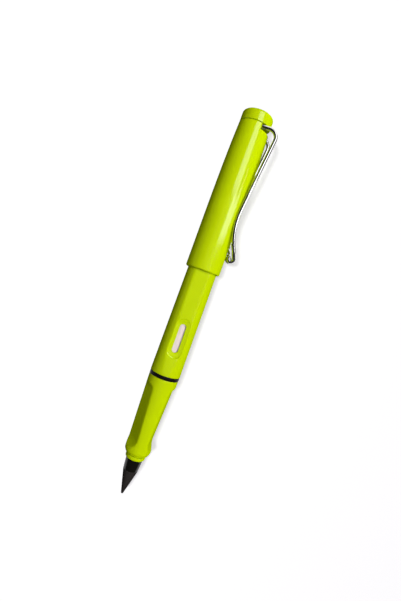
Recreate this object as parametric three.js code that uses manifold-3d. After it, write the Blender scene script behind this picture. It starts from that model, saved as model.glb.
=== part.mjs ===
// Inkless pencil: a graphite point in a black sleeve, a scooped grip, a barrel with a
// window on each side, and a cap with a wire clip, posted on the barrel's tail.
// Millimetres. The axis is X, with the writing point towards -X and the origin at the
// centre of the cap's flat end. The window faces +Z and the clip lies towards -Y.
// Stations along the axis are counted from the writing point.

import * as THREE from 'three';
import { mergeVertices } from 'three/addons/utils/BufferGeometryUtils.js';
import Module from 'manifold-3d';

const wasm = await Module();
wasm.setup();

// Facets round the axis, shared by every turned piece so that fits stay even
const roundSteps = 40;
const edgeSteps = 3;
const curveSteps = 8;

// Clearances between pieces
const fitClearance = 0.1;
const capClearance = 0.05;
const clipClearance = 0.05;
const tipClearance = 0.35;

// Graphite point
const coneLength = 10.8;
const coneRadius = 3.15;
const bluntRadius = 0.4;
const tangLength = 3.6;

// Black sleeve that holds the point and screws into the grip
const sleeveLength = 5.1;
const sleeveRadius = 3.55;
const sleeveWall = 1.1;
const stemLength = 12.1;

// Collar between the sleeve and the grip
const collarLength = 1.56;
const collarRadius = 4.1;
const collarEdge = 0.5;
const collarGroove = 0.4;
const collarBossStep = 0.4;

// Grip with two scooped facets
const gripLength = 33.19;
const gripNoseRadius = 4.75;
const gripNoseRound = 0.7;
const gripBulgeRadius = 5.4;
const gripBulgeSetback = 2.4;
const gripRearRadius = 6.12;
const gripWall = 0.8;
const gripRoll = 8;
const facetAngle = 68.7;
const facetFrontSetback = 6.9;
const facetFrontDistance = 3.95;
const facetFrontRound = 6.1;
const facetRearSetback = 5.4;
const facetRearDistance = 5.06;
const facetRearRound = 3.0;

// Black core inside the grip, with the thread that enters the barrel
const coreWall = 0.9;
const threadSeat = 3.85;
const threadReach = 8.1;
const spigotLength = 5;

// White tube behind the window
const tubeGap = 0.4;
const tubeWall = 0.8;
const tubeLength = 39.5;

// Black ring between the grip and the barrel
const ringLength = 1.55;
const ringInset = 0.025;
const ringEdge = 0.25;

// Barrel with two flats and a window in each
const barrelLength = 72.6;
const barrelRadius = 6.2;
const barrelTaper = 0.4;
const barrelWall = 1.5;
const barrelEdge = 0.2;
const flatWidth = 5.1;
const windowSetback = 15.7;
const windowLength = 11.8;
const windowWidth = 2.7;
const dishLength = 16.4;
const dishWidth = 5.5;
const dishDepth = 0.45;

// Plug in the barrel's tail
const plugLength = 1.5;
const plugEdge = 0.6;
const plugStemLength = 4;

// Cap shell
const capWall = 0.85;
const capLipEdge = 0.3;
const capTopWall = 0.75;
const capTopEdge = 0.2;
const lipOverlap = 0.4;
const tailGap = 4.93;
const shelfThickness = 2.5;
const clipSlotInset = 1.9;

// Inner cap that closes round the point
const innerCapWall = 1.1;
const innerCapEndWall = 1.5;
const tipEndRoom = 1.5;
const neckWall = 1.2;
const neckBoreDepth = 5.1;

// Finial that closes the cap and holds the clip down
const finialLength = 4.61;
const finialGroove = 0.3;
const finialEdge = 1.2;
const finialStemLength = 5;

// Wire clip
const wireRadius = 0.8;
const wireSides = 8;
const bendStep = 15;
const clipPivotRoom = 1.05;
const clipSideRoom = 1.15;
const clipNeckRoom = 0.05;
const clipSplay = 2.05;
const clipEndGap = 2;
const clipTopRise = 2.8;
const clipTopBend = 3.5;
const clipReach = 53.2;
const clipTouchFromHook = 16.8;
const clipTouchBend = 28;
const clipShoulder = 6;
const clipShoulderBend = 5;
const clipHookSpread = 1.9;
const clipHookRise = 3.65;
const clipHookBend = 1.3;
const clipHookReturn = 2.2;
const clipReturnBend = 1.2;
const clipBarBend = 0.95;

// Stations along the axis, from the writing point to the finial
const sleeveFront = coneLength;
const collarFront = sleeveFront + sleeveLength;
const collarRear = collarFront + collarLength;
const gripFront = collarRear + collarGroove;
const gripRear = gripFront + gripLength;
const barrelFront = gripRear + ringLength;
const barrelRear = barrelFront + barrelLength;
const plugRear = barrelRear + plugLength;
const innerCapMouth = plugRear + tailGap;
const capLip = innerCapMouth - gripLength - ringLength - lipOverlap;
const cavityEnd = innerCapMouth + gripFront + tipEndRoom;
const shelfFront = cavityEnd + innerCapEndWall;
const recessFloor = shelfFront + shelfThickness;
const wireStation = recessFloor + clipPivotRoom + wireRadius;
const shellTop = wireStation + wireRadius + clipClearance - finialGroove;
const finialFront = shellTop + finialGroove;
const overallLength = finialFront + finialLength;

// Radii that follow from what each piece fits round or inside
const tangRadius = coneRadius - sleeveWall;
const coreRadius = facetFrontDistance - gripWall - fitClearance;
const stemRadius = coreRadius - coreWall - fitClearance;
const barrelBore = barrelRadius - barrelWall;
const threadRadius = barrelBore - fitClearance;
const tubeRadius = barrelBore - tubeGap;
const tubeBore = tubeRadius - tubeWall;
const ringRadius = barrelRadius - ringInset;
const capBore = barrelRadius + capClearance;
const capLipRadius = capBore + capWall;
const cavityRadius = collarRadius + tipClearance;
const innerCapRadius = cavityRadius + innerCapWall;
const linerBore = innerCapRadius + fitClearance;
const capTopRadius = linerBore + capTopWall;
const clipLoopRadius = linerBore - clipSideRoom - wireRadius;
const legSpread = clipLoopRadius + clipSplay;
const neckRadius = clipLoopRadius - wireRadius - clipNeckRoom;
const neckBore = neckRadius - neckWall;

// Finishes
const limePlastic = { color: 0xc6dc00, roughness: 0.2, metalness: 0 };
const blackPlastic = { color: 0x161514, roughness: 0.3, metalness: 0 };
const whitePlastic = { color: 0xeae2dc, roughness: 0.4, metalness: 0 };
const graphite = { color: 0x2b2826, roughness: 0.45, metalness: 0.3 };
const polishedSteel = { color: 0xd2d2d2, roughness: 0.12, metalness: 1 };

// Outline points (station, radius) turned once round the X axis
function revolve(path) {
  const outline = path.getPoints(curveSteps).map((point) => new THREE.Vector2(point.y, point.x));
  const geometry = new THREE.LatheGeometry(outline, roundSteps);
  geometry.rotateZ(-Math.PI / 2);
  return geometry;
}

// A quarter round on an outline, from the current point to the given one
function roundTo(path, cornerX, cornerR, endX, endR) {
  const start = path.currentPoint;
  const corner = new THREE.Vector2(cornerX, cornerR);
  const end = new THREE.Vector2(endX, endR);
  const arc = new THREE.QuadraticBezierCurve(start.clone(), corner, end);
  for (const point of arc.getPoints(edgeSteps).slice(1)) {
    path.lineTo(point.x, point.y);
  }
}

function toSolid(geometry) {
  geometry.deleteAttribute('normal');
  geometry.deleteAttribute('uv');
  const merged = mergeVertices(geometry);
  const corners = merged.index.array;
  const triangles = [];
  for (let i = 0; i < corners.length; i += 3) {
    const [a, b, c] = corners.slice(i, i + 3);
    if (a !== b && b !== c && c !== a) {
      triangles.push(a, b, c);
    }
  }
  const vertProperties = merged.attributes.position.array;
  const triVerts = Uint32Array.from(triangles);
  return new wasm.Manifold(new wasm.Mesh({ numProp: 3, vertProperties, triVerts }));
}

function toGeometry(solid) {
  const mesh = solid.getMesh();
  const geometry = new THREE.BufferGeometry();
  geometry.setAttribute('position', new THREE.BufferAttribute(mesh.vertProperties, 3));
  geometry.setIndex(new THREE.BufferAttribute(mesh.triVerts, 1));
  return geometry;
}

function piece(name, geometry, finish) {
  const mesh = new THREE.Mesh(geometry, new THREE.MeshStandardMaterial(finish));
  mesh.name = name;
  return mesh;
}

// Barrel radius and distance of its flats from the axis, at a station
function barrelRadiusAt(station) {
  return barrelRadius - barrelTaper * (station - barrelFront) / barrelLength;
}

function flatDistanceAt(station) {
  return Math.sqrt(barrelRadiusAt(station) ** 2 - (flatWidth / 2) ** 2);
}

// Outer curve of the cap: nearly parallel over the barrel, then drawn in to the finial
const capCurve = new THREE.CubicBezierCurve(
  new THREE.Vector2(capLip + capLipEdge, capLipRadius),
  new THREE.Vector2(THREE.MathUtils.lerp(capLip, shellTop, 0.5), capLipRadius),
  new THREE.Vector2(THREE.MathUtils.lerp(capLip, shellTop, 0.72), capLipRadius),
  new THREE.Vector2(shellTop - capTopEdge, capTopRadius),
);

function capRadiusAt(station) {
  const points = capCurve.getPoints(roundSteps);
  const next = points.findIndex((point) => point.x >= station);
  const after = points[Math.max(next, 1)];
  const before = points[Math.max(next, 1) - 1];
  const share = (station - before.x) / (after.x - before.x);
  return THREE.MathUtils.lerp(before.y, after.y, share);
}

function graphiteTip() {
  const path = new THREE.Path();
  path.moveTo(0, 0);
  roundTo(path, 0, bluntRadius, bluntRadius, bluntRadius);
  path.lineTo(coneLength, coneRadius);
  path.lineTo(coneLength, tangRadius);
  path.lineTo(coneLength + tangLength, tangRadius);
  path.lineTo(coneLength + tangLength, 0);
  return piece('graphite_tip', revolve(path), graphite);
}

function tipSleeve() {
  const path = new THREE.Path();
  const stemEnd = collarFront + stemLength;
  path.moveTo(sleeveFront + tangLength + fitClearance, 0);
  path.lineTo(sleeveFront + tangLength + fitClearance, tangRadius + fitClearance);
  path.lineTo(sleeveFront, tangRadius + fitClearance);
  path.lineTo(sleeveFront, coneRadius);
  path.lineTo(collarFront, sleeveRadius);
  path.lineTo(collarFront, stemRadius);
  path.lineTo(stemEnd - fitClearance, stemRadius);
  path.lineTo(stemEnd, stemRadius - fitClearance);
  path.lineTo(stemEnd, 0);
  return piece('tip_sleeve', revolve(path), blackPlastic);
}

function noseCollar() {
  const path = new THREE.Path();
  const bore = stemRadius + fitClearance;
  path.moveTo(collarFront, bore);
  path.lineTo(collarFront, collarRadius - collarEdge);
  roundTo(path, collarFront, collarRadius, collarFront + collarEdge, collarRadius);
  path.lineTo(collarRear, collarRadius);
  path.lineTo(collarRear, collarRadius - collarBossStep);
  path.lineTo(gripFront, collarRadius - collarBossStep);
  path.lineTo(gripFront, bore);
  path.closePath();
  return piece('nose_collar', revolve(path), limePlastic);
}

// One facet's cutter: a side outline with a front scoop, a sloping floor and a rear run-out
function facetCutter(turn) {
  const front = new THREE.Vector2(gripFront + facetFrontSetback, facetFrontDistance);
  const rear = new THREE.Vector2(gripRear - facetRearSetback, facetRearDistance);
  const slope = Math.atan2(rear.y - front.y, rear.x - front.x);
  const quarter = Math.PI / 2;
  const frontCentreX = front.x - facetFrontRound * Math.sin(slope);
  const frontCentreY = front.y + facetFrontRound * Math.cos(slope);
  const rearCentreX = rear.x - facetRearRound * Math.sin(slope);
  const rearCentreY = rear.y + facetRearRound * Math.cos(slope);
  const outside = Math.max(frontCentreY, rearCentreY);
  const outline = new THREE.Shape();
  outline.moveTo(frontCentreX - facetFrontRound, outside);
  outline.absarc(frontCentreX, frontCentreY, facetFrontRound, -2 * quarter, slope - quarter, false);
  outline.absarc(rearCentreX, rearCentreY, facetRearRound, slope - quarter, 0, false);
  outline.lineTo(rearCentreX + facetRearRound, outside);
  const width = 2 * barrelRadius;
  const cutter = new THREE.ExtrudeGeometry(outline, {
    depth: width,
    bevelEnabled: false,
    curveSegments: curveSteps,
  });
  cutter.translate(0, 0, -width / 2);
  cutter.rotateX(THREE.MathUtils.degToRad(90 + turn));
  return toSolid(cutter);
}

function grip() {
  const bore = coreRadius + fitClearance;
  const threadBore = threadRadius + fitClearance;
  const step = gripRear - threadSeat;
  const bulge = gripFront + gripBulgeSetback;
  const path = new THREE.Path();
  path.moveTo(gripFront, bore);
  path.lineTo(gripFront, gripNoseRadius - gripNoseRound);
  roundTo(path, gripFront, gripNoseRadius, gripFront + gripNoseRound, gripNoseRadius);
  path.quadraticCurveTo(gripFront + gripNoseRound, gripBulgeRadius, bulge, gripBulgeRadius);
  path.quadraticCurveTo(bulge + gripBulgeSetback, gripBulgeRadius, gripRear, gripRearRadius);
  path.lineTo(gripRear, threadBore);
  path.lineTo(step, threadBore);
  path.lineTo(step, bore);
  path.closePath();
  let solid = toSolid(revolve(path));
  for (const side of [-1, 1]) {
    solid = solid.subtract(facetCutter(gripRoll + side * facetAngle));
  }
  return piece('grip', toGeometry(solid), limePlastic);
}

function gripCore() {
  const socket = stemRadius + fitClearance;
  const socketEnd = collarFront + stemLength + fitClearance;
  const step = gripRear - threadSeat;
  const threadEnd = barrelFront + threadReach;
  const spigot = tubeBore - fitClearance;
  const path = new THREE.Path();
  path.moveTo(socketEnd, 0);
  path.lineTo(socketEnd, socket);
  path.lineTo(gripFront, socket);
  path.lineTo(gripFront, coreRadius);
  path.lineTo(step, coreRadius);
  path.lineTo(step, threadRadius);
  path.lineTo(threadEnd, threadRadius);
  path.lineTo(threadEnd, spigot);
  path.lineTo(threadEnd + spigotLength, spigot);
  path.lineTo(threadEnd + spigotLength, 0);
  return piece('grip_core', revolve(path), blackPlastic);
}

function coreTube() {
  const front = barrelFront + threadReach;
  const path = new THREE.Path();
  path.moveTo(front, tubeBore);
  path.lineTo(front, tubeRadius);
  path.lineTo(front + tubeLength, tubeRadius);
  path.lineTo(front + tubeLength, tubeBore);
  path.closePath();
  return piece('core_tube', revolve(path), whitePlastic);
}

function jointRing() {
  const bore = threadRadius + fitClearance;
  const path = new THREE.Path();
  path.moveTo(gripRear, bore);
  path.lineTo(gripRear, ringRadius - ringEdge);
  roundTo(path, gripRear, ringRadius, gripRear + ringEdge, ringRadius);
  path.lineTo(barrelFront - ringEdge, ringRadius);
  roundTo(path, barrelFront, ringRadius, barrelFront, ringRadius - ringEdge);
  path.lineTo(barrelFront, bore);
  path.closePath();
  return piece('joint_ring', revolve(path), blackPlastic);
}

// An oval with round ends, centred on the window
function ovalShape(length, width) {
  const centre = barrelFront + windowSetback;
  const end = (length - width) / 2;
  const shape = new THREE.Shape();
  shape.absarc(centre + end, 0, width / 2, -Math.PI / 2, Math.PI / 2, false);
  shape.absarc(centre - end, 0, width / 2, Math.PI / 2, 3 * Math.PI / 2, false);
  return shape;
}

function windowSlotCutter() {
  const cutter = new THREE.ExtrudeGeometry(ovalShape(windowLength, windowWidth), {
    depth: 2 * barrelRadius,
    bevelEnabled: false,
    curveSegments: curveSteps,
  });
  cutter.translate(0, 0, -barrelRadius);
  return toSolid(cutter);
}

// The dish round a window: a floor as wide as the slot, with sides that round up to the flat
function windowDishCutter(side) {
  const flare = (dishWidth - windowWidth) / 2;
  const floor = flatDistanceAt(barrelFront + windowSetback) - dishDepth;
  const cutter = new THREE.ExtrudeGeometry(ovalShape(dishLength - 2 * flare, windowWidth), {
    depth: barrelRadius - floor,
    bevelThickness: dishDepth,
    bevelSize: flare,
    bevelSegments: edgeSteps,
    curveSegments: curveSteps,
  });
  cutter.translate(0, 0, floor + dishDepth);
  cutter.rotateX(side * Math.PI);
  return toSolid(cutter);
}

// The barrel's side outline, between its two flats, as wide as the barrel
function flatsBlock() {
  const outline = new THREE.Shape();
  outline.moveTo(barrelFront, -flatDistanceAt(barrelFront));
  outline.lineTo(barrelRear, -flatDistanceAt(barrelRear));
  outline.lineTo(barrelRear, flatDistanceAt(barrelRear));
  outline.lineTo(barrelFront, flatDistanceAt(barrelFront));
  const width = 3 * barrelRadius;
  const block = new THREE.ExtrudeGeometry(outline, { depth: width, bevelEnabled: false });
  block.translate(0, 0, -width / 2);
  block.rotateX(Math.PI / 2);
  return toSolid(block);
}

function barrel() {
  const tailRadius = barrelRadius - barrelTaper;
  const path = new THREE.Path();
  path.moveTo(barrelFront, barrelBore);
  path.lineTo(barrelFront, barrelRadius - barrelEdge);
  roundTo(path, barrelFront, barrelRadius, barrelFront + barrelEdge, barrelRadius);
  path.lineTo(barrelRear - barrelEdge, tailRadius);
  roundTo(path, barrelRear, tailRadius, barrelRear, tailRadius - barrelEdge);
  path.lineTo(barrelRear, barrelBore);
  path.closePath();
  const solid = toSolid(revolve(path))
    .intersect(flatsBlock())
    .subtract(windowSlotCutter())
    .subtract(windowDishCutter(0))
    .subtract(windowDishCutter(1));
  return piece('barrel', toGeometry(solid), limePlastic);
}

function barrelPlug() {
  const stem = barrelBore - fitClearance;
  const head = flatDistanceAt(barrelRear) - fitClearance;
  const path = new THREE.Path();
  path.moveTo(barrelRear - plugStemLength, 0);
  path.lineTo(barrelRear - plugStemLength, stem);
  path.lineTo(barrelRear, stem);
  path.lineTo(barrelRear, head);
  path.lineTo(plugRear - plugEdge, head);
  roundTo(path, plugRear, head, plugRear, head - plugEdge);
  path.lineTo(plugRear, 0);
  return piece('barrel_plug', revolve(path), limePlastic);
}

function capShell() {
  const neckHole = neckRadius + fitClearance;
  const path = new THREE.Path();
  path.moveTo(capLip, capBore);
  path.lineTo(capLip, capLipRadius - capLipEdge);
  roundTo(path, capLip, capLipRadius, capLip + capLipEdge, capLipRadius);
  path.bezierCurveTo(
    capCurve.v1.x, capCurve.v1.y,
    capCurve.v2.x, capCurve.v2.y,
    capCurve.v3.x, capCurve.v3.y,
  );
  roundTo(path, shellTop, capTopRadius, shellTop, capTopRadius - capTopEdge);
  path.lineTo(shellTop, linerBore);
  path.lineTo(recessFloor, linerBore);
  path.lineTo(recessFloor, neckHole);
  path.lineTo(shelfFront, neckHole);
  path.lineTo(shelfFront, linerBore);
  path.lineTo(innerCapMouth, linerBore);
  path.lineTo(innerCapMouth - (capBore - linerBore), capBore);
  path.closePath();
  const slotDepth = shellTop - recessFloor;
  const slotReach = 2 * capTopRadius;
  const slot = new THREE.BoxGeometry(2 * slotDepth, slotReach, slotReach);
  slot.translate(recessFloor + slotDepth, -clipSlotInset - slotReach / 2, 0);
  const solid = toSolid(revolve(path)).subtract(toSolid(slot));
  return piece('cap_shell', toGeometry(solid), limePlastic);
}

function innerCap() {
  const path = new THREE.Path();
  path.moveTo(cavityEnd, 0);
  path.lineTo(cavityEnd, cavityRadius);
  path.lineTo(innerCapMouth, cavityRadius);
  path.lineTo(innerCapMouth, innerCapRadius);
  path.lineTo(shelfFront, innerCapRadius);
  path.lineTo(shelfFront, neckRadius);
  path.lineTo(shellTop, neckRadius);
  path.lineTo(shellTop, neckBore);
  path.lineTo(shellTop - neckBoreDepth, neckBore);
  path.lineTo(shellTop - neckBoreDepth, 0);
  return piece('inner_cap', revolve(path), blackPlastic);
}

function finial() {
  const stem = neckBore - fitClearance;
  const rim = capTopRadius - capClearance / 2;
  const path = new THREE.Path();
  path.moveTo(shellTop - finialStemLength, 0);
  path.lineTo(shellTop - finialStemLength, stem);
  path.lineTo(shellTop, stem);
  path.lineTo(shellTop, neckRadius);
  path.lineTo(finialFront, neckRadius);
  path.lineTo(finialFront, rim - capTopEdge);
  roundTo(path, finialFront, rim, finialFront + capTopEdge, rim);
  path.lineTo(overallLength - finialEdge, rim);
  roundTo(path, overallLength, rim, overallLength, rim - finialEdge);
  path.lineTo(overallLength, 0);
  return piece('finial', revolve(path), limePlastic);
}

// A wire's centre line: straight runs between corners, each corner bent to its radius
class WireRoute extends THREE.Curve {
  constructor(corners) {
    super();
    this.points = [corners[0].at];
    for (let i = 1; i < corners.length - 1; i += 1) {
      this.addBend(corners[i - 1].at, corners[i], corners[i + 1].at);
    }
    this.points.push(corners[corners.length - 1].at);
  }

  addBend(before, corner, after) {
    const arriving = corner.at.clone().sub(before).normalize();
    const leaving = after.clone().sub(corner.at).normalize();
    const turn = arriving.angleTo(leaving);
    const axis = arriving.clone().cross(leaving).normalize();
    const start = corner.at.clone().addScaledVector(arriving, -corner.bend * Math.tan(turn / 2));
    const inward = axis.clone().cross(arriving).normalize();
    const centre = start.clone().addScaledVector(inward, corner.bend);
    const steps = Math.max(1, Math.round(THREE.MathUtils.radToDeg(turn) / bendStep));
    for (let i = 0; i <= steps; i += 1) {
      const spoke = start.clone().sub(centre).applyAxisAngle(axis, turn * i / steps);
      this.points.push(centre.clone().add(spoke));
    }
  }

  get steps() {
    return this.points.length - 1;
  }

  getPoint(share) {
    const place = Math.min(share * this.steps, this.steps);
    const index = Math.min(Math.floor(place + 1e-6), this.steps);
    const next = Math.min(index + 1, this.steps);
    return this.points[index].clone().lerp(this.points[next], Math.max(place - index, 0));
  }

  getPointAt(share) {
    return this.getPoint(share);
  }

  getTangentAt(share) {
    const index = Math.round(share * this.steps);
    const after = this.points[Math.min(index + 1, this.steps)].clone().sub(this.points[index]);
    const before = this.points[index].clone().sub(this.points[Math.max(index - 1, 0)]);
    return after.normalize().add(before.normalize()).normalize();
  }
}

// Where two straight runs, each from its own end and tangent to one circle, would meet
function tangentCorner(upper, lower, circle, radius) {
  const directions = [upper, lower].map((end, index) => {
    const line = circle.clone().sub(end);
    const lean = Math.asin(radius / line.length()) * (index === 0 ? -1 : 1);
    return line.rotateAround(new THREE.Vector2(), -lean).normalize();
  });
  const [down, up] = directions;
  const span = lower.clone().sub(upper);
  const run = span.cross(up) / down.cross(up);
  return upper.clone().addScaledVector(down, run);
}

// One leg of the clip, from its free end in the cap to the middle of the hook's bar.
// Heights are above the axis, towards -Y; side is +1 or -1 along Z.
function legCorners(side) {
  const hookStation = wireStation - clipReach;
  const touchStation = hookStation + clipTouchFromHook;
  const barStation = hookStation + clipHookReturn;
  const reachToWire = capRadiusAt(touchStation) + wireRadius + clipClearance;
  const touchHeight = Math.sqrt(reachToWire ** 2 - legSpread ** 2);
  const barHeight = capRadiusAt(barStation) + wireRadius + clipClearance;
  const top = new THREE.Vector2(wireStation, capTopRadius + clipTopRise);
  const hook = new THREE.Vector2(hookStation, capLipRadius + clipHookRise);
  const circle = new THREE.Vector2(touchStation, touchHeight + clipTouchBend);
  const valley = tangentCorner(top, hook, circle, clipTouchBend);
  const shoulder = valley.clone().sub(hook).setLength(clipShoulder).add(hook);
  const wrap = Math.PI / 2 - clipEndGap / 2 / clipLoopRadius;
  const wrapReach = clipLoopRadius * Math.tan(wrap / 2);
  const endReach = clipLoopRadius * Math.sin(wrap);
  const at = (station, height, z) => new THREE.Vector3(station, -height, side * z);
  return [
    { at: at(wireStation, -endReach, clipLoopRadius * Math.cos(wrap)) },
    { at: at(wireStation, -wrapReach, clipLoopRadius), bend: clipLoopRadius },
    { at: at(top.x, top.y, legSpread), bend: clipTopBend },
    { at: at(valley.x, valley.y, legSpread), bend: clipTouchBend },
    { at: at(shoulder.x, shoulder.y, legSpread), bend: clipShoulderBend },
    { at: at(hook.x, hook.y, clipHookSpread), bend: clipHookBend },
    { at: at(hookStation, barHeight, clipHookSpread), bend: clipReturnBend },
    { at: at(barStation, barHeight, clipHookSpread), bend: clipBarBend },
  ];
}

function clip() {
  const route = new WireRoute([...legCorners(1), ...legCorners(-1).reverse()]);
  const section = new THREE.Shape();
  section.absarc(0, 0, wireRadius, 0, 2 * Math.PI, false);
  const wire = new THREE.ExtrudeGeometry(section, {
    steps: route.steps,
    curveSegments: wireSides,
    extrudePath: route,
  });
  return piece('clip', wire, polishedSteel);
}

const pencil = new THREE.Group();
pencil.add(
  graphiteTip(),
  tipSleeve(),
  noseCollar(),
  grip(),
  gripCore(),
  coreTube(),
  jointRing(),
  barrel(),
  barrelPlug(),
  capShell(),
  innerCap(),
  finial(),
  clip(),
);
pencil.position.x = -overallLength;

export default pencil;
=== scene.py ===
import bpy
import bmesh
import math
from mathutils import Matrix, Vector
from mathutils.geometry import interpolate_bezier


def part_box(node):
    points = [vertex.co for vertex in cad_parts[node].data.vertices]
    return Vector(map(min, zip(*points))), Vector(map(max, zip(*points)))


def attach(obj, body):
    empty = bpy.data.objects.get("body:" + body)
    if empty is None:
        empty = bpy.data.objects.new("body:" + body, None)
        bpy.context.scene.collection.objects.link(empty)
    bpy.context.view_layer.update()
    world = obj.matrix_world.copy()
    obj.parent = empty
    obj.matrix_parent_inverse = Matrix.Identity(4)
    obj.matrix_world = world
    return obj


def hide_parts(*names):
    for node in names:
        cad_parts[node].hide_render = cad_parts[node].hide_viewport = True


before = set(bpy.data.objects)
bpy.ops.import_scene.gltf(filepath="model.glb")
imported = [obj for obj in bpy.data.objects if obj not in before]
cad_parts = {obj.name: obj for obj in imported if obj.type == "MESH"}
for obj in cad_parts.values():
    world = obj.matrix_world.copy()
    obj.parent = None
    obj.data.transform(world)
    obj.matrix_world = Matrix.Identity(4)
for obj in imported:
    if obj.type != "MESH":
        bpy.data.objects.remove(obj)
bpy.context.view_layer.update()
print("frame loaded")

mm = 0.001
mergeGap = 1e-4
roundSegments = 5


# Everything is drawn in millimetres, with X along the pencil as in the frame

def span(node):
    low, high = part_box(node)
    return low.x / mm, high.x / mm


def linear(hexColour):
    channels = [int(hexColour[i:i + 2], 16) / 255 for i in (1, 3, 5)]
    curve = [c / 12.92 if c <= 0.04045 else ((c + 0.055) / 1.055) ** 2.4 for c in channels]
    return (*curve, 1.0)


# An input goes by its name, with _ for a space, or by its number: i6 and i7 are a Mix's colours
def addNode(tree, kind, settings=None, **inputs):
    node = tree.nodes.new(kind)
    for key, value in (settings or {}).items():
        setattr(node, key, value)
    for key, value in inputs.items():
        numbered = key[0] == "i" and key[1:].isdigit()
        socket = node.inputs[int(key[1:]) if numbered else key.replace("_", " ")]
        if isinstance(value, bpy.types.NodeSocket):
            tree.links.new(value, socket)
        else:
            socket.default_value = value
    return node


def newMaterial(name):
    material = bpy.data.materials.new(name)
    material.use_nodes = True
    tree = material.node_tree
    tree.nodes.clear()
    return material, tree


# By how far the surface turns away, from 0, face on, to 1, edge on
glossFade = {
    "start": 0.14,
    "end": 0.31,
}


# Full gloss where the surface faces the eye, fading where it turns away to a dark surround
def setSpecular(tree, shader, look):
    gloss = shader.inputs["Specular IOR Level"]
    gloss.default_value = look["specular"]
    if "sideSpecular" in look:
        facing = addNode(tree, "ShaderNodeLayerWeight", Blend=0.5).outputs["Facing"]
        fade = addNode(
            tree, "ShaderNodeMapRange", Value=facing,
            From_Min=glossFade["start"], From_Max=glossFade["end"],
            To_Min=look["specular"], To_Max=look["sideSpecular"],
        )
        tree.links.new(fade.outputs[0], gloss)


# Each look gives the width and strength of the waves and grain, and these hold for all of them
moulding = {
    "waveDetail": 2.0,
    "waveHeightMm": 0.02,
    "grainDetail": 3.0,
    "grainHeightMm": 0.002,
    "roughSpread": 0.2,
}


# Moulded plastic: a clear gloss over one even colour, with the faint waviness of a moulding
def mouldedPlastic(name, look):
    material, tree = newMaterial(name)
    place = addNode(tree, "ShaderNodeTexCoord").outputs["Object"]
    wave = addNode(
        tree, "ShaderNodeTexNoise", Vector=place,
        Scale=1 / (look["waveMm"] * mm), Detail=moulding["waveDetail"],
    )
    grain = addNode(
        tree, "ShaderNodeTexNoise", Vector=place,
        Scale=1 / (look["grainMm"] * mm), Detail=moulding["grainDetail"],
    )
    tone = addNode(
        tree, "ShaderNodeMix", {"data_type": "RGBA"}, Factor=wave.outputs["Fac"],
        i6=linear(look["colour"]), i7=linear(look["deepColour"]),
    )
    rough = addNode(
        tree, "ShaderNodeMapRange", Value=grain.outputs["Fac"],
        To_Min=look["roughness"] * (1 - moulding["roughSpread"]),
        To_Max=look["roughness"] * (1 + moulding["roughSpread"]),
    )
    waveBump = addNode(
        tree, "ShaderNodeBump", Height=wave.outputs["Fac"],
        Strength=look["waveDepth"], Distance=moulding["waveHeightMm"] * mm,
    )
    grainBump = addNode(
        tree, "ShaderNodeBump", Height=grain.outputs["Fac"], Normal=waveBump.outputs[0],
        Strength=look["grainDepth"], Distance=moulding["grainHeightMm"] * mm,
    )
    shader = addNode(
        tree, "ShaderNodeBsdfPrincipled", Base_Color=tone.outputs[2],
        Roughness=rough.outputs[0], Normal=grainBump.outputs[0], IOR=look["ior"],
    )
    setSpecular(tree, shader, look)
    addNode(tree, "ShaderNodeOutputMaterial", Surface=shader.outputs[0])
    return material


# ABS: hard, with a bright gloss
limeAbs = mouldedPlastic("limeAbsMoulded", {
    "colour": "#C6DE00",
    "deepColour": "#BFD600",
    "roughness": 0.11,
    "ior": 1.53,
    "specular": 0.5,
    "sideSpecular": 0.0,
    "waveMm": 6.0,
    "waveDepth": 0.1,
    "grainMm": 0.25,
    "grainDepth": 0.15,
})

blackAbs = mouldedPlastic("blackAbsMoulded", {
    "colour": "#15140F",
    "deepColour": "#0E0D0B",
    "roughness": 0.22,
    "ior": 1.53,
    "specular": 0.5,
    "sideSpecular": 0.05,
    "waveMm": 5.0,
    "waveDepth": 0.2,
    "grainMm": 0.2,
    "grainDepth": 0.2,
})

# The same plastic, polished brighter on the sleeve behind the point
sleeveAbs = mouldedPlastic("blackAbsPolished", {
    "colour": "#15140F",
    "deepColour": "#0E0D0B",
    "roughness": 0.14,
    "ior": 1.53,
    "specular": 0.5,
    "sideSpecular": 0.3,
    "waveMm": 5.0,
    "waveDepth": 0.2,
    "grainMm": 0.2,
    "grainDepth": 0.2,
})

# Natural polypropylene, extruded: milky white and satin
whitePolypropylene = mouldedPlastic("whitePolypropyleneExtruded", {
    "colour": "#F0E1E0",
    "deepColour": "#E5D3D2",
    "roughness": 0.38,
    "ior": 1.49,
    "specular": 0.5,
    "waveMm": 4.0,
    "waveDepth": 0.2,
    "grainMm": 0.2,
    "grainDepth": 0.4,
})


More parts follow.
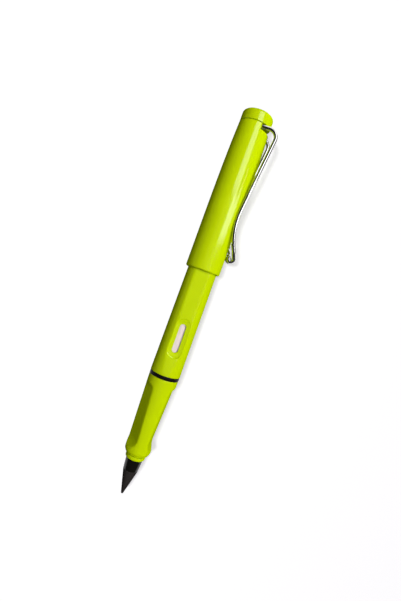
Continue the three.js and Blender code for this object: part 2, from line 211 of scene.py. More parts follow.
# Turned graphite alloy: dark grey, satin, with fine rings from the lathe
def turnedGraphiteAlloy(look):
    material, tree = newMaterial("graphiteAlloyTurned")
    place = addNode(tree, "ShaderNodeTexCoord").outputs["Object"]
    rings = addNode(
        tree, "ShaderNodeTexWave", {"bands_direction": "X"}, Vector=place,
        Scale=look["bandGap"] / (look["ringMm"] * mm),
        Distortion=look["ringDistortion"], Detail=look["ringDetail"],
    )
    speckle = addNode(
        tree, "ShaderNodeTexNoise", Vector=place,
        Scale=1 / (look["speckleMm"] * mm), Detail=look["speckleDetail"],
    )
    tone = addNode(
        tree, "ShaderNodeMix", {"data_type": "RGBA"}, Factor=speckle.outputs["Fac"],
        i6=linear(look["darkColour"]), i7=linear(look["colour"]),
    )
    rough = addNode(
        tree, "ShaderNodeMapRange", Value=speckle.outputs["Fac"],
        To_Min=look["roughness"] - look["roughSpread"],
        To_Max=look["roughness"] + look["roughSpread"],
    )
    ringBump = addNode(
        tree, "ShaderNodeBump", Height=rings.outputs["Fac"],
        Strength=look["ringDepth"], Distance=look["reliefMm"] * mm,
    )
    speckleBump = addNode(
        tree, "ShaderNodeBump", Height=speckle.outputs["Fac"], Normal=ringBump.outputs[0],
        Strength=look["speckleDepth"], Distance=look["reliefMm"] * mm,
    )
    shader = addNode(
        tree, "ShaderNodeBsdfPrincipled", Base_Color=tone.outputs[2],
        Roughness=rough.outputs[0], Normal=speckleBump.outputs[0], Metallic=look["metallic"],
    )
    setSpecular(tree, shader, look)
    addNode(tree, "ShaderNodeOutputMaterial", Surface=shader.outputs[0])
    return material


graphite = turnedGraphiteAlloy({
    "colour": "#34302F",
    "darkColour": "#282423",
    "roughness": 0.5,
    "roughSpread": 0.08,
    "metallic": 0.0,
    "specular": 0.3,
    "sideSpecular": 0.0,
    "bandGap": 0.314,  # between two bands of a wave texture whose scale is 1
    "ringMm": 0.25,
    "ringDistortion": 1.5,
    "ringDetail": 2.0,
    "ringDepth": 0.35,
    "speckleMm": 0.3,
    "speckleDetail": 4.0,
    "speckleDepth": 0.3,
    "reliefMm": 0.01,
})


# Bright-plated spring wire: a mirror finish with faint lengthwise drawing marks
def polishedPlatedWire(look):
    material, tree = newMaterial("springWirePlated")
    place = addNode(tree, "ShaderNodeTexCoord").outputs["Object"]
    drawn = addNode(tree, "ShaderNodeMapping", Vector=place, Scale=(look["markStretch"], 1.0, 1.0))
    marks = addNode(
        tree, "ShaderNodeTexNoise", Vector=drawn.outputs[0],
        Scale=1 / (look["markMm"] * mm), Detail=look["markDetail"],
    )
    rough = addNode(
        tree, "ShaderNodeMapRange", Value=marks.outputs["Fac"],
        To_Min=look["roughness"] * (1 - look["roughSpread"]),
        To_Max=look["roughness"] * (1 + look["roughSpread"]),
    )
    bump = addNode(
        tree, "ShaderNodeBump", Height=marks.outputs["Fac"],
        Strength=look["markDepth"], Distance=look["markHeightMm"] * mm,
    )
    shader = addNode(
        tree, "ShaderNodeBsdfPrincipled", Base_Color=linear(look["colour"]),
        Roughness=rough.outputs[0], Normal=bump.outputs[0], Metallic=look["metallic"],
    )
    addNode(tree, "ShaderNodeOutputMaterial", Surface=shader.outputs[0])
    return material


platedWire = polishedPlatedWire({
    "colour": "#C6C6C5",
    "roughness": 0.1,
    "roughSpread": 0.3,
    "metallic": 1.0,
    "markMm": 0.08,
    "markStretch": 0.05,
    "markDetail": 2.0,
    "markDepth": 0.08,
    "markHeightMm": 0.005,
})
print("materials made")


# A closed shell's faces all one way, and outwards by the sign of its volume
def faceOutwards(bm):
    bmesh.ops.recalc_face_normals(bm, faces=bm.faces)
    if bm.calc_volume(signed=True) < 0:
        bmesh.ops.reverse_faces(bm, faces=bm.faces)


# Turned shapes: corners (x, radius, edge round) drawn as a wire and spun once round X

def drawOutline(bm, corners, closed):
    verts = [bm.verts.new((x, radius, 0)) for x, radius, edgeRound in corners]
    ends = verts[1:] + verts[:1] if closed else verts[1:]
    for a, b in zip(verts, ends):
        bm.edges.new((a, b))
    for vert, (x, radius, edgeRound) in zip(verts, corners):
        if edgeRound:
            bmesh.ops.bevel(
                bm, geom=[vert], offset=edgeRound, offset_type="OFFSET", affect="VERTICES",
                segments=roundSegments, profile=0.5, material=-1,
            )


def turned(corners, closed=False, steps=160):
    bm = bmesh.new()
    drawOutline(bm, corners, closed)
    bmesh.ops.spin(
        bm, geom=bm.verts[:] + bm.edges[:], cent=(0, 0, 0), axis=(1, 0, 0),
        angle=math.tau, steps=steps, use_merge=True,
    )
    bmesh.ops.remove_doubles(bm, verts=bm.verts, dist=mergeGap)
    faceOutwards(bm)
    return bm


def pick(geom, kind):
    return [part for part in geom if isinstance(part, kind)]


# The ridge's four corners as shares of the pitch, and how deep its foot sinks under the root
thread = {
    "corners": (0.1, 0.42, 0.58, 0.9),
    "sink": 0.1,
    "stepsPerTurn": 48,
}


# A thread: a small ridge spun with a step along X, tapered to nothing where it starts and ends
def addThread(bm, start, end, root, crest, pitch):
    turns = (end - start) / pitch - 1
    steps = int(turns * thread["stepsPerTurn"])
    foot = root - thread["sink"]
    heights = (foot, crest, crest, foot)
    threadBm = bmesh.new()
    ridge = [
        threadBm.verts.new((start + share * pitch, height, 0))
        for share, height in zip(thread["corners"], heights)
    ]
    profile = [threadBm.edges.new((a, b)) for a, b in zip(ridge, ridge[1:] + ridge[:1])]
    made = bmesh.ops.spin(
        threadBm, geom=ridge + profile, cent=(0, 0, 0), axis=(1, 0, 0),
        dvec=(pitch / thread["stepsPerTurn"], 0, 0),
        angle=math.tau * steps / thread["stepsPerTurn"], steps=steps, use_merge=False,
    )
    for loop in (ridge, pick(made["geom_last"], bmesh.types.BMVert)):
        bmesh.ops.contextual_create(threadBm, geom=loop)
        for vert in loop:
            radial = Vector((0, vert.co.y, vert.co.z))
            vert.co -= radial * max(0, 1 - foot / radial.length)
    faceOutwards(threadBm)
    mesh = bpy.data.meshes.new("thread")
    threadBm.to_mesh(mesh)
    threadBm.free()
    bm.from_mesh(mesh)
    bpy.data.meshes.remove(mesh)


def sharpen(bm, angle=32):
    for face in bm.faces:
        face.smooth = True
    for edge in bm.edges:
        if len(edge.link_faces) == 2 and edge.calc_face_angle(0) > math.radians(angle):
            edge.smooth = False


def newObject(name, bm):
    bmesh.ops.scale(bm, vec=(mm, mm, mm), verts=bm.verts)
    mesh = bpy.data.meshes.new(name)
    bm.to_mesh(mesh)
    bm.free()
    made = bpy.data.objects.new(name, mesh)
    bpy.context.collection.objects.link(made)
    return made


def addPiece(name, bm, material, body, node):
    sharpen(bm)
    piece = newObject(name, bm)
    piece.data.materials.append(material)
    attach(piece, body)
    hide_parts(node)
    print("made", name)
    return piece


def cutWith(piece, cutterBm):
    cutter = newObject("cutter", cutterBm)
    cut = piece.modifiers.new("cut", "BOOLEAN")
    cut.operation = "DIFFERENCE"
    cut.solver = "EXACT"
    cut.object = cutter
    graph = bpy.context.evaluated_depsgraph_get()
    result = bpy.data.meshes.new_from_object(piece.evaluated_get(graph))
    spent = [piece.data, cutter.data]
    piece.modifiers.clear()
    piece.data = result
    bpy.data.objects.remove(cutter)
    for mesh in spent:
        bpy.data.meshes.remove(mesh)
    bm = bmesh.new()
    bm.from_mesh(result)
    sharpen(bm)
    bm.to_mesh(result)
    bm.free()


# Points along a curve with one handle
def curvePoints(start, control, end, count):
    points = []
    for i in range(count + 1):
        t = i / count
        points.append(tuple(
            (1 - t) ** 2 * a + 2 * t * (1 - t) * b + t * t * c
            for a, b, c in zip(start, control, end)
        ))
    return points


def evenSteps(start, end, count):
    return [start + (end - start) * i / count for i in range(count + 1)]


# The smaller of two distances, with the corner between them rounded over a width
def softMin(a, b, width):
    share = max(width - abs(a - b), 0) / width
    return min(a, b) - share * share * width / 4


# Graphite point
point = {
    "coneLength": 10.8,
    "coneRadius": 3.15,
    "coneEdge": 0.12,
    "bluntRadius": 0.42,
    "bluntEdge": 0.32,
    "tangRadius": 2.05,
    "tangEdge": 0.2,
}
tipX, tangX = span("graphite_tip")
coneX = tipX + point["coneLength"]
addPiece("writingPoint", turned([
    (tipX, 0, 0),
    (tipX, point["bluntRadius"], point["bluntEdge"]),
    (coneX, point["coneRadius"], point["coneEdge"]),
    (coneX, point["tangRadius"], 0),
    (tangX, point["tangRadius"], point["tangEdge"]),
    (tangX, 0, 0),
]), graphite, "tip", "graphite_tip")

# Sleeve behind the point, with the threaded stem that screws into the grip
sleeve = {
    "bodyLength": 5.1,
    "frontRadius": 3.15,
    "rearRadius": 3.55,
    "edge": 0.12,
    "tangGap": 0.1,
    "stemRadius": 2.05,
    "stemEdge": 0.4,
    "threadStart": 2.5,
    "threadEnd": 0.3,
    "threadDepth": 0.3,
    "pitch": 0.8,
}
sleeveX, stemX = span("tip_sleeve")
sleeveRear = sleeveX + sleeve["bodyLength"]
stemRoot = sleeve["stemRadius"] - sleeve["threadDepth"]
tangHole = point["tangRadius"] + sleeve["tangGap"]
tangHoleEnd = tangX + sleeve["tangGap"]
sleeveBm = turned([
    (tangHoleEnd, 0, 0),
    (tangHoleEnd, tangHole, 0),
    (sleeveX, tangHole, 0),
    (sleeveX, sleeve["frontRadius"], sleeve["edge"]),
    (sleeveRear, sleeve["rearRadius"], sleeve["edge"]),
    (sleeveRear, stemRoot, 0),
    (stemX, stemRoot, sleeve["stemEdge"]),
    (stemX, 0, 0),
])
addThread(
    sleeveBm, sleeveRear + sleeve["threadStart"], stemX - sleeve["threadEnd"],
    stemRoot, sleeve["stemRadius"], sleeve["pitch"],
)
addPiece("pointSleeve", sleeveBm, sleeveAbs, "tip", "tip_sleeve")

# Collar with a groove behind it
collar = {
    "length": 1.56,
    "radius": 4.1,
    "frontRound": 0.5,
    "rearEdge": 0.12,
    "bossStep": 0.4,
    "bore": 2.15,
}
collarX, bossX = span("nose_collar")
collarRear = collarX + collar["length"]
bossRadius = collar["radius"] - collar["bossStep"]
addPiece("noseCollar", turned([
    (collarX, collar["bore"], 0),
    (collarX, collar["radius"], collar["frontRound"]),
    (collarRear, collar["radius"], collar["rearEdge"]),
    (collarRear, bossRadius, 0),
    (bossX, bossRadius, 0),
    (bossX, collar["bore"], 0),
], closed=True), limeAbs, "collar", "nose_collar")

# Grip: a turned body with two scooped facets, softened where they meet it
grip = {
    "noseRadius": 4.75,
    "noseEdge": 0.56,
    "noseRun": 0.7,
    "noseRise": 0.12,
    "noseHandle": 0.98,
    "noseSteps": 10,
    "bulgeRadius": 5.4,
    "bulgeSetback": 2.4,
    "bodySteps": 140,
    "rearRadius": 6.12,
    "rearEdge": 0.28,
    "bore": 3.15,
    "boreMargin": 0.2,
    "threadBore": 4.7,
    "threadSeat": 3.85,
    "seatMargin": 0.1,
    "roll": 8,
    "facetAngle": 68.7,
    "facetLean": 0.2,
    "frontSetback": 6.9,
    "frontDistance": 3.95,
    "frontRound": 6.1,
    "rearSetback": 5.4,
    "rearDistance": 5.06,
    "rearRound": 3.0,
    "soften": 0.4,
}
gripFront, gripRear = span("grip")
gripSeat = gripRear - grip["threadSeat"]


# Distance of a facet's floor from the axis at x: front scoop, sloping floor, rear run-out
def facetDistance(x):
    frontX, frontY = gripFront + grip["frontSetback"], grip["frontDistance"]
    rearX, rearY = gripRear - grip["rearSetback"], grip["rearDistance"]
    slope = math.atan2(rearY - frontY, rearX - frontX)
    if frontX <= x <= rearX:
        return frontY + (x - frontX) * math.tan(slope)
    if x < frontX:
        edgeX, edgeY, edgeRound = frontX, frontY, grip["frontRound"]
    else:
        edgeX, edgeY, edgeRound = rearX, rearY, grip["rearRound"]
    centreX = edgeX - edgeRound * math.sin(slope)
    centreY = edgeY + edgeRound * math.cos(slope)
    heightSquared = edgeRound ** 2 - (x - centreX) ** 2
    return centreY - math.sqrt(heightSquared) if heightSquared > 0 else math.inf


bulgeX = gripFront + grip["bulgeSetback"]
noseCurve = curvePoints(
    (gripFront + grip["noseRun"], grip["noseRadius"] + grip["noseRise"]),
    (gripFront + grip["noseHandle"], grip["bulgeRadius"]),
    (bulgeX, grip["bulgeRadius"]), grip["noseSteps"],
)
bodyCurve = curvePoints(
    (bulgeX, grip["bulgeRadius"]), (bulgeX + grip["bulgeSetback"], grip["bulgeRadius"]),
    (gripRear, grip["rearRadius"]), grip["bodySteps"],
)
gripBm = turned([
    (gripFront, grip["bore"], 0),
    (gripFront, grip["noseRadius"], grip["noseEdge"]),
    *((x, radius, 0) for x, radius in noseCurve + bodyCurve[1:-1]),
    (gripRear, grip["rearRadius"], grip["rearEdge"]),
    (gripRear, grip["threadBore"], 0),
    (gripSeat, grip["threadBore"], 0),
    (gripSeat, grip["bore"], 0),
], closed=True, steps=288)
facetNormals = [math.radians(grip["roll"] + side * grip["facetAngle"]) for side in (-1, 1)]
for vert in gripBm.verts:
    radius = math.hypot(vert.co.y, vert.co.z)
    inBore = radius < grip["bore"] + grip["boreMargin"]
    atSeat = vert.co.x > gripSeat - grip["seatMargin"]
    if inBore or (atSeat and radius < grip["threadBore"] + grip["seatMargin"]):
        continue
    angle = math.atan2(-vert.co.y, vert.co.z)
    limit = radius
    for normal in facetNormals:
        lean = math.cos(angle - normal)
        if lean > grip["facetLean"]:
            limit = softMin(limit, facetDistance(vert.co.x) / lean, grip["soften"])
    vert.co.y *= limit / radius
    vert.co.z *= limit / radius
addPiece("gripShell", gripBm, limeAbs, "grip", "grip")

# Core inside the grip, with the thread that enters the barrel
core = {
    "radius": 3.05,
    "frontEdge": 0.1,
    "socket": 2.15,
    "socketGap": 0.1,
    "threadRadius": 4.6,
    "threadDepth": 0.35,
    "threadStart": 0.3,
    "threadEnd": 0.1,
    "threadEdge": 0.2,
    "pitch": 1.35,
    "spigot": 3.4,
    "spigotEdge": 0.3,
}
coreFront, coreRear = span("grip_core")
barrelFront, barrelRear = span("barrel")
tubeFront, tubeRear = span("core_tube")
socketEnd = stemX + core["socketGap"]
threadRoot = core["threadRadius"] - core["threadDepth"]
coreBm = turned([
    (socketEnd, 0, 0),
    (socketEnd, core["socket"], 0),
    (coreFront, core["socket"], core["frontEdge"]),
    (coreFront, core["radius"], core["frontEdge"]),
    (gripSeat, core["radius"], 0),
    (gripSeat, threadRoot, 0),
    (tubeFront, threadRoot, core["threadEdge"]),
    (tubeFront, core["spigot"], 0),
    (coreRear, core["spigot"], core["spigotEdge"]),
    (coreRear, 0, 0),
])
addThread(
    coreBm, barrelFront + core["threadStart"], tubeFront - core["threadEnd"],
    threadRoot, core["threadRadius"], core["pitch"],
)
addPiece("gripCore", coreBm, blackAbs, "grip", "grip_core")

# White tube behind the window
tube = {
    "radius": 4.3,
    "bore": 3.5,
    "edge": 0.15,
}
addPiece("coreTube", turned([
    (tubeFront, tube["bore"], 0),
    (tubeFront, tube["radius"], tube["edge"]),
    (tubeRear, tube["radius"], tube["edge"]),
    (tubeRear, tube["bore"], 0),
], closed=True), whitePolypropylene, "grip", "core_tube")

# Ring between the grip and the barrel
ring = {
    "radius": 6.175,
    "bore": 4.7,
    "edge": 0.22,
}
ringFront, ringRear = span("joint_ring")
addPiece("jointRing", turned([
    (ringFront, ring["bore"], 0),
    (ringFront, ring["radius"], ring["edge"]),
    (ringRear, ring["radius"], ring["edge"]),
    (ringRear, ring["bore"], 0),
], closed=True, steps=192), blackAbs, "ring", "joint_ring")

# Barrel: a tapered tube with two flats, and in each flat a dished oval with a slot
barrel = {
    "frontRadius": 6.2,
    "rearRadius": 5.8,
    "bore": 4.7,
    "boreMargin": 0.05,
    "edge": 0.18,
    "endInset": 1.0,
    "stations": (5, 150, 23),
    "flatWidth": 5.8,
    "flatLean": 0.3,
    "frontRun": 12.0,
    "soften": 0.4,
    "windowSetback": 15.7,
    "windowLength": 11.8,
    "windowWidth": 2.55,
    "windowSegments": 64,
    "cutMargin": 1.0,
    "dishLength": 16.4,
    "dishWidth": 6.1,
    "dishMargin": 0.5,
    "dishDepth": 0.5,
    "rimDepth": 0.22,
    "rimRun": 0.35,
}
windowX = barrelFront + barrel["windowSetback"]
dishStart = windowX - barrel["dishLength"] / 2 - barrel["dishMargin"]
dishEnd = windowX + barrel["dishLength"] / 2 + barrel["dishMargin"]


def barrelRadius(x):
    share = (x - barrelFront) / (barrelRear - barrelFront)
    return barrel["frontRadius"] + (barrel["rearRadius"] - barrel["frontRadius"]) * share


# Distance of the flats from the axis: they widen from nothing at the front end
def flatDistance(x):
    share = min(max((barrelFront + barrel["frontRun"] - x) / barrel["frontRun"], 0), 1)
    width = barrel["flatWidth"] * math.cos(share * math.pi / 2)
    return math.sqrt(barrelRadius(x) ** 2 - (width / 2) ** 2)


# Depth of the dish at a place on the flat: a short steep rim, then an even slope to the slot
def dishDepth(x, y):
    run = max(abs(x - windowX) - (barrel["dishLength"] - barrel["dishWidth"]) / 2, 0)
    inside = barrel["dishWidth"] / 2 - math.hypot(run, y)
    slopeRun = (barrel["dishWidth"] - barrel["windowWidth"]) / 2 - barrel["rimRun"]
    slope = (barrel["dishDepth"] - barrel["rimDepth"]) / slopeRun
    rim = barrel["rimDepth"] * min(max(inside / barrel["rimRun"], 0), 1)
    return min(rim + slope * max(inside - barrel["rimRun"], 0), barrel["dishDepth"])


frontCount, dishCount, rearCount = barrel["stations"]
barrelStations = [
    *evenSteps(barrelFront + barrel["endInset"], dishStart, frontCount)[:-1],
    *evenSteps(dishStart, dishEnd, dishCount),
    *evenSteps(dishEnd, barrelRear - barrel["endInset"], rearCount)[1:],
]
barrelBm = turned([
    (barrelFront, barrel["bore"], 0),
    (barrelFront, barrelRadius(barrelFront), barrel["edge"]),
    *((x, barrelRadius(x), 0) for x in barrelStations),
    (barrelRear, barrelRadius(barrelRear), barrel["edge"]),
    (barrelRear, barrel["bore"], 0),
], closed=True, steps=360)
for vert in barrelBm.verts:
    radius = math.hypot(vert.co.y, vert.co.z)
    if radius < barrel["bore"] + barrel["boreMargin"]:
        continue
    lean = abs(vert.co.z) / radius
    if lean > barrel["flatLean"]:
        limit = softMin(radius, flatDistance(vert.co.x) / lean, barrel["soften"])
        vert.co.y *= limit / radius
        vert.co.z *= limit / radius
    if abs(vert.co.y) < barrel["dishWidth"] / 2 and dishStart < vert.co.x < dishEnd:
        depth = dishDepth(vert.co.x, vert.co.y)
        dishFloor = flatDistance(windowX) - depth
        if depth > 0 and abs(vert.co.z) > dishFloor:
            vert.co.z = math.copysign(dishFloor, vert.co.z)
barrelPiece = addPiece("barrelShell", barrelBm, limeAbs, "barrel", "barrel")


def slotCutter():
    bm = bmesh.new()
    bmesh.ops.create_circle(
        bm, cap_ends=False, radius=barrel["windowWidth"] / 2, segments=barrel["windowSegments"],
    )
    half = (barrel["windowLength"] - barrel["windowWidth"]) / 2
    for vert in bm.verts:
        if abs(vert.co.x) > mergeGap:
            vert.co.x += math.copysign(half, vert.co.x)
    reach = barrel["frontRadius"] + barrel["cutMargin"]
    bmesh.ops.translate(bm, vec=(windowX, 0, -reach), verts=bm.verts)
    base = bmesh.ops.contextual_create(bm, geom=bm.edges[:])["faces"]
    top = bmesh.ops.extrude_face_region(bm, geom=base)["geom"]
    bmesh.ops.translate(bm, vec=(0, 0, 2 * reach), verts=pick(top, bmesh.types.BMVert))
    faceOutwards(bm)
    return bm


cutWith(barrelPiece, slotCutter())

# Plug in the barrel's tail
plug = {
    "stemRadius": 4.6,
    "stemEdge": 0.3,
    "headStep": 0.1,
    "headEdge": 0.55,
}
plugFront, plugRear = span("barrel_plug")
headRadius = flatDistance(barrelRear) - plug["headStep"]
addPiece("barrelPlug", turned([
    (plugFront, 0, 0),
    (plugFront, plug["stemRadius"], plug["stemEdge"]),
    (barrelRear, plug["stemRadius"], 0),
    (barrelRear, headRadius, 0),
    (plugRear, headRadius, plug["headEdge"]),
    (plugRear, 0, 0),
]), limeAbs, "barrel", "barrel_plug")

# Cap shell: parallel over the barrel, then drawn in to the finial, with the clip's slot
cap = {
    "lipRadius": 7.1,
    "lipEdge": 0.72,
    "lipInset": 0.1,
    "topRadius": 6.4,
    "topEdge": 0.16,
    "topInset": 0.05,
    "handles": (0.5, 0.72),
    "curveSteps": 64,
    "bore": 6.25,
    "boreEdge": 0.1,
    "linerBore": 5.65,
    "mouthChamfer": 0.6,
    "shelf": 2.5,
    "neckHole": 2.95,
    "slotInset": 1.9,
    "slotDepth": 2.4,
}
capLip, shellTop = span("cap_shell")
mouthX, linerTop = span("inner_cap")
recessX = shellTop - cap["slotDepth"]
shelfX = recessX - cap["shelf"]
curveStart = capLip + cap["lipEdge"] + cap["lipInset"]
curveEnd = shellTop - cap["topEdge"] - cap["topInset"]
nearHandle, farHandle = (capLip + (shellTop - capLip) * share for share in cap["handles"])
capCurve = interpolate_bezier(
    Vector((curveStart, cap["lipRadius"])), Vector((nearHandle, cap["lipRadius"])),
    Vector((farHandle, cap["lipRadius"])), Vector((curveEnd, cap["topRadius"])),
    cap["curveSteps"],
)
capPiece = addPiece("capShell", turned([
    (capLip, cap["bore"], cap["boreEdge"]),
    (capLip, cap["lipRadius"], cap["lipEdge"]),
    *((place.x, place.y, 0) for place in capCurve),
    (shellTop, cap["topRadius"], cap["topEdge"]),
    (shellTop, cap["linerBore"], 0),
    (recessX, cap["linerBore"], 0),
    (recessX, cap["neckHole"], 0),
    (shelfX, cap["neckHole"], 0),
    (shelfX, cap["linerBore"], 0),
    (mouthX, cap["linerBore"], 0),
    (mouthX - cap["mouthChamfer"], cap["bore"], 0),
], closed=True, steps=256), limeAbs, "cap", "cap_shell")
slotReach = 2 * cap["lipRadius"]
slotPlace = (recessX + cap["slotDepth"], -cap["slotInset"] - slotReach / 2, 0)
capSlot = bmesh.new()
bmesh.ops.create_cube(capSlot, size=1)
bmesh.ops.scale(capSlot, vec=(2 * cap["slotDepth"], slotReach, slotReach), verts=capSlot.verts)
bmesh.ops.translate(capSlot, vec=slotPlace, verts=capSlot.verts)
cutWith(capPiece, capSlot)

# Inner cap that closes round the point
liner = {
    "cavity": 4.45,
    "cavityEdge": 0.4,
    "radius": 5.55,
    "mouthEdge": 0.2,
    "endWall": 1.5,
    "neckRadius": 2.85,
    "neckEdge": 0.1,
    "neckBore": 1.65,
    "boreDepth": 5.1,
}
cavityEnd = shelfX - liner["endWall"]
addPiece("innerCap", turned([
    (cavityEnd, 0, 0),
    (cavityEnd, liner["cavity"], liner["cavityEdge"]),
    (mouthX, liner["cavity"], liner["mouthEdge"]),
    (mouthX, liner["radius"], liner["mouthEdge"]),
    (shelfX, liner["radius"], 0),
    (shelfX, liner["neckRadius"], 0),
    (linerTop, liner["neckRadius"], liner["neckEdge"]),
    (linerTop, liner["neckBore"], 0),
    (linerTop - liner["boreDepth"], liner["neckBore"], 0),
    (linerTop - liner["boreDepth"], 0, 0),
]), blackAbs, "cap", "inner_cap")

# Finial that closes the cap, with the groove under it
finial = {
    "groove": 0.3,
    "rim": 6.375,
    "rimEdge": 0.16,
    "endRound": 1.2,
    "stemRadius": 1.55,
    "stemEdge": 0.1,
}
finialStem, endX = span("finial")
finialFront = shellTop + finial["groove"]
addPiece("capFinial", turned([
    (finialStem, 0, 0),
    (finialStem, finial["stemRadius"], finial["stemEdge"]),
    (shellTop, finial["stemRadius"], 0),
    (shellTop, liner["neckRadius"], 0),
    (finialFront, liner["neckRadius"], 0),
    (finialFront, finial["rim"], finial["rimEdge"]),
    (endX, finial["rim"], finial["endRound"]),
    (endX, 0, 0),
], steps=256), limeAbs, "cap", "finial")

# Wire clip, bent as one wire: a loop round the neck, two legs, a hook and a bar
wire = {
    "radius": 0.8,
    "loopRadius": 3.7,
    "splay": 2.05,
    "endGap": 2.0,
    "topRise": 2.8,
    "topBend": 3.5,
    "reach": 53.2,
    "touchFromHook": 16.8,
    "touchBend": 28.0,
    "shoulder": 6.0,
    "shoulderBend": 5.0,
    "hookSpread": 1.9,
    "hookRise": 3.65,
    "hookBend": 1.3,
    "hookReturn": 2.2,
    "returnBend": 1.2,
    "barBend": 0.95,
    "clearance": 0.05,
    "sides": 24,
    "bendStep": 5,
    "mergeGap": 1e-3,
}


def capRadius(x):
    for before, after in zip(capCurve, capCurve[1:]):
        if before.x <= x <= after.x:
            return before.y + (after.y - before.y) * (x - before.x) / (after.x - before.x)
    return cap["lipRadius"]


# Where two straight runs, each from its own end and tangent to one circle, would meet
def tangentCorner(upper, lower, centre, radius):
    directions = []
    for end, side in ((upper, 1), (lower, -1)):
        line = centre - end
        lean = side * math.asin(radius / line.length)
        directions.append((Matrix.Rotation(lean, 2) @ line).normalized())
    down, up = directions
    gap = lower - upper
    run = (gap.x * up.y - gap.y * up.x) / (down.x * up.y - down.y * up.x)
    return upper + down * run


# One half of the clip, from the middle of the bar to the loop's open end: (corner, bend radius)
def legCorners():
    offCap = wire["radius"] + wire["clearance"]
    wireX = finialFront - wire["clearance"] - wire["radius"]
    hookX = wireX - wire["reach"]
    touchX = hookX + wire["touchFromHook"]
    barX = hookX + wire["hookReturn"]
    spread = wire["hookSpread"]
    loop = wire["loopRadius"]
    legZ = loop + wire["splay"]
    touchHeight = math.sqrt((capRadius(touchX) + offCap) ** 2 - legZ ** 2)
    barHeight = capRadius(barX) + offCap
    top = Vector((wireX, cap["topRadius"] + wire["topRise"]))
    hook = Vector((hookX, cap["lipRadius"] + wire["hookRise"]))
    touch = Vector((touchX, touchHeight + wire["touchBend"]))
    valley = tangentCorner(top, hook, touch, wire["touchBend"])
    shoulder = hook + (valley - hook).normalized() * wire["shoulder"]
    wrap = math.pi / 2 - wire["endGap"] / 2 / loop
    return [
        (Vector((barX, -barHeight, 0)), 0),
        (Vector((barX, -barHeight, spread)), wire["barBend"]),
        (Vector((hookX, -barHeight, spread)), wire["returnBend"]),
        (Vector((hook.x, -hook.y, spread)), wire["hookBend"]),
        (Vector((shoulder.x, -shoulder.y, legZ)), wire["shoulderBend"]),
        (Vector((valley.x, -valley.y, legZ)), wire["touchBend"]),
        (Vector((top.x, -top.y, legZ)), wire["topBend"]),
        (Vector((wireX, loop * math.tan(wrap / 2), loop)), loop),
        (Vector((wireX, loop * math.sin(wrap), loop * math.cos(wrap))), 0),
    ]


# Push the wire's end ring straight to each bend, then spin it round the bend
def bendWire(corners):
    bm = bmesh.new()
    bmesh.ops.create_circle(bm, cap_ends=False, radius=wire["radius"], segments=wire["sides"])
    bmesh.ops.translate(bm, vec=corners[0][0], verts=bm.verts)
    endRing = bm.edges[:]
    at = corners[0][0]
    for i in range(1, len(corners)):
        corner, bend = corners[i]
        arriving = (corner - at).normalized()
        if i < len(corners) - 1:
            leaving = (corners[i + 1][0] - corner).normalized()
            turn = arriving.angle(leaving)
            start = corner - arriving * bend * math.tan(turn / 2)
        else:
            start = corner
        grown = bmesh.ops.extrude_edge_only(bm, edges=endRing)["geom"]
        verts = pick(grown, bmesh.types.BMVert)
        endRing = pick(grown, bmesh.types.BMEdge)
        bmesh.ops.translate(bm, vec=start - at, verts=verts)
        at = start
        if i < len(corners) - 1:
            axis = arriving.cross(leaving).normalized()
            centre = start + axis.cross(arriving).normalized() * bend
            spun = bmesh.ops.spin(
                bm, geom=endRing + verts, cent=centre, axis=axis, angle=turn,
                steps=max(2, round(math.degrees(turn) / wire["bendStep"])), use_merge=False,
            )["geom_last"]
            endRing = pick(spun, bmesh.types.BMEdge)
            at = centre + Matrix.Rotation(turn, 3, axis) @ (start - centre)
    bmesh.ops.contextual_create(bm, geom=endRing)
    return bm


clipBm = bendWire(legCorners())
bmesh.ops.mirror(
    clipBm, geom=clipBm.verts[:] + clipBm.edges[:] + clipBm.faces[:],
    axis="Z", merge_dist=wire["mergeGap"],
)
bmesh.ops.remove_doubles(clipBm, verts=clipBm.verts, dist=wire["mergeGap"])
faceOutwards(clipBm)
clipPiece = addPiece("wireClip", clipBm, platedWire, "clip", "clip")

# Floor, lamps and camera
studio = {
    "floorDrop": 0.4,
    "floorSize": 3000.0,
    "floorBounce": "#999F88",
    "floorSeen": "#E6E6E6",
    "floorGlow": "#FEFCFF",
    "floorWhite": 0.68,
    "worldColour": "#FFFFFF",
    "worldTop": 0.03,
    "worldRim": 0.12,
    "worldRise": 0.35,
    "topSoftbox": {"place": (215, -128, 407), "tilt": (-3.1, 0), "size": (265, 280), "power": 0.84},
    "sideSoftbox": {"place": (72, -378, 416), "tilt": (41.9, 0), "size": (92, 410), "power": 0.55},
    "edgeStrip": {"place": (100, -333, 251), "tilt": (53, 0), "size": (70, 14), "power": 0.05},
    "wireCard": {"place": (260, -52, 153), "tilt": (0, 90), "size": (300, 300), "power": 0.45},
    "rightFill": {"place": (10, -299, 577), "tilt": (27.9, 0), "size": (400, 400), "power": 2.78},
    "topFill": {"place": (-100, 38, 699), "tilt": (-3.1, 0), "size": (500, 500), "power": 0.95},
    "floorLamp": {"place": (-60, 270, 890), "tilt": (-17, 0), "size": (150, 150), "power": 4.0},
}
onPencil = bpy.data.collections.new("onPencil")
onFloor = bpy.data.collections.new("onFloor")
onCap = bpy.data.collections.new("onCap")
onWire = bpy.data.collections.new("onWire")


def addLamp(name, lights, reflected):
    look = studio[name]
    data = bpy.data.lights.new(name, "AREA")
    data.shape = "RECTANGLE"
    data.size, data.size_y = (side * mm for side in look["size"])
    data.energy = look["power"]
    lamp = bpy.data.objects.new(name, data)
    bpy.context.collection.objects.link(lamp)
    tiltX, tiltY = (math.radians(angle) for angle in look["tilt"])
    lamp.location = Vector(look["place"]) * mm
    lamp.rotation_euler = (tiltX, tiltY, 0)
    lamp.visible_glossy = reflected
    lamp.light_linking.receiver_collection = lights


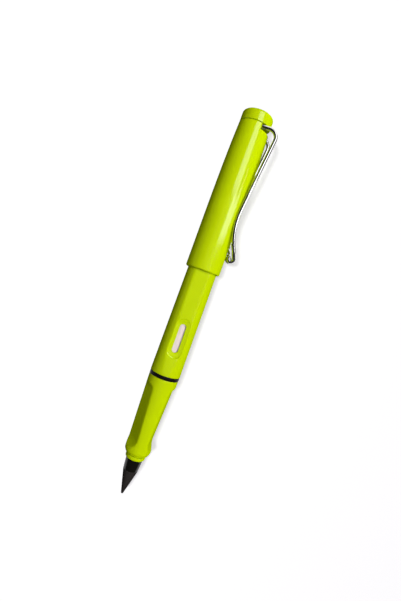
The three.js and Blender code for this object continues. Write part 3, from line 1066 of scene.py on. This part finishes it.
# The first four show as streaks in the gloss. The fills and the floor's lamp only light
addLamp("topSoftbox", onPencil, True)
addLamp("sideSoftbox", onPencil, True)
addLamp("edgeStrip", onCap, True)
addLamp("wireCard", onWire, True)
addLamp("rightFill", onPencil, False)
addLamp("topFill", onPencil, False)
addLamp("floorLamp", onFloor, False)

# Paper floor: pale where the camera or gloss sees it, darker and greener where it lights
floorBm = bmesh.new()
bmesh.ops.create_grid(floorBm, x_segments=1, y_segments=1, size=studio["floorSize"] / 2)
floorZ = -(cap["lipRadius"] + studio["floorDrop"])
bmesh.ops.translate(floorBm, vec=(0, 0, floorZ), verts=floorBm.verts)
floor = newObject("studioFloor", floorBm)
paper, tree = newMaterial("paperMatte")
rays = addNode(tree, "ShaderNodeLightPath")
seen = rays.outputs["Is Camera Ray"]
for ray in ("Is Glossy Ray", "Is Transmission Ray"):
    either = addNode(
        tree, "ShaderNodeMath", {"operation": "MAXIMUM"}, i0=seen, i1=rays.outputs[ray],
    )
    seen = either.outputs[0]
tone = addNode(
    tree, "ShaderNodeMix", {"data_type": "RGBA"}, Factor=seen,
    i6=linear(studio["floorBounce"]), i7=linear(studio["floorSeen"]),
)
matte = addNode(tree, "ShaderNodeBsdfDiffuse", Color=tone.outputs[2])
dark = addNode(tree, "ShaderNodeEmission", Strength=0.0)
glow = addNode(
    tree, "ShaderNodeEmission",
    Color=linear(studio["floorGlow"]), Strength=studio["floorWhite"],
)
lit = addNode(tree, "ShaderNodeMixShader", i0=seen, i1=dark.outputs[0], i2=glow.outputs[0])
both = addNode(tree, "ShaderNodeAddShader", i0=matte.outputs[0], i1=lit.outputs[0])
addNode(tree, "ShaderNodeOutputMaterial", Surface=both.outputs[0])
floor.data.materials.append(paper)

# What each lamp lights: onPencil leaves only the floor out, and the others hold one thing each
onFloor.objects.link(floor)
onCap.objects.link(capPiece)
onWire.objects.link(clipPiece)
onPencil.objects.link(floor)
onPencil.collection_objects[0].light_linking.link_state = "EXCLUDE"

# The studio round it: dim near the horizon and darker overhead
world = bpy.data.worlds.new("studio")
bpy.context.scene.world = world
world.use_nodes = True
tree = world.node_tree
tree.nodes.clear()
place = addNode(tree, "ShaderNodeTexCoord").outputs["Generated"]
heading = addNode(tree, "ShaderNodeSeparateXYZ", Vector=place)
lift = addNode(
    tree, "ShaderNodeMapRange", Value=heading.outputs["Z"], From_Max=studio["worldRise"],
    To_Min=studio["worldRim"], To_Max=studio["worldTop"],
)
sky = addNode(
    tree, "ShaderNodeBackground",
    Color=linear(studio["worldColour"]), Strength=lift.outputs[0],
)
addNode(tree, "ShaderNodeOutputWorld", Surface=sky.outputs[0])

# Camera above the pencil, as the photograph was taken
shot = {
    "place": (-73.445, 13.556, 152.808),
    "right": (0.32871, -0.94443),
    "turn": (-0.11049, 0.02481, 0.01066),
    "focalPixels": 380,
    "frame": (401, 601),
    "sensor": 36.0,
    "clipStart": 10,
}
turnX, turnY, turnZ = shot["turn"]
swing = (
    Matrix.Rotation(turnY, 3, "Y") @ Matrix.Rotation(turnX, 3, "X")
    @ Matrix.Rotation(turnZ, 3, "Z")
)
rightX, rightY = shot["right"]
rightWay = swing @ Vector((rightX, rightY, 0))
downWay = swing @ Vector((rightY, -rightX, 0))
awayWay = swing @ Vector((0, 0, -1))
cameraData = bpy.data.cameras.new("photoCamera")
cameraData.sensor_width = shot["sensor"]
cameraData.lens = shot["focalPixels"] * shot["sensor"] / max(shot["frame"])
cameraData.clip_start = shot["clipStart"] * mm
camera = bpy.data.objects.new("photoCamera", cameraData)
bpy.context.collection.objects.link(camera)
aim = Matrix((rightWay, -downWay, -awayWay)).transposed().to_4x4()
camera.matrix_world = Matrix.Translation(Vector(shot["place"]) * mm) @ aim
bpy.context.scene.camera = camera
bpy.context.scene.view_settings.view_transform = "Standard"
print("studio set")
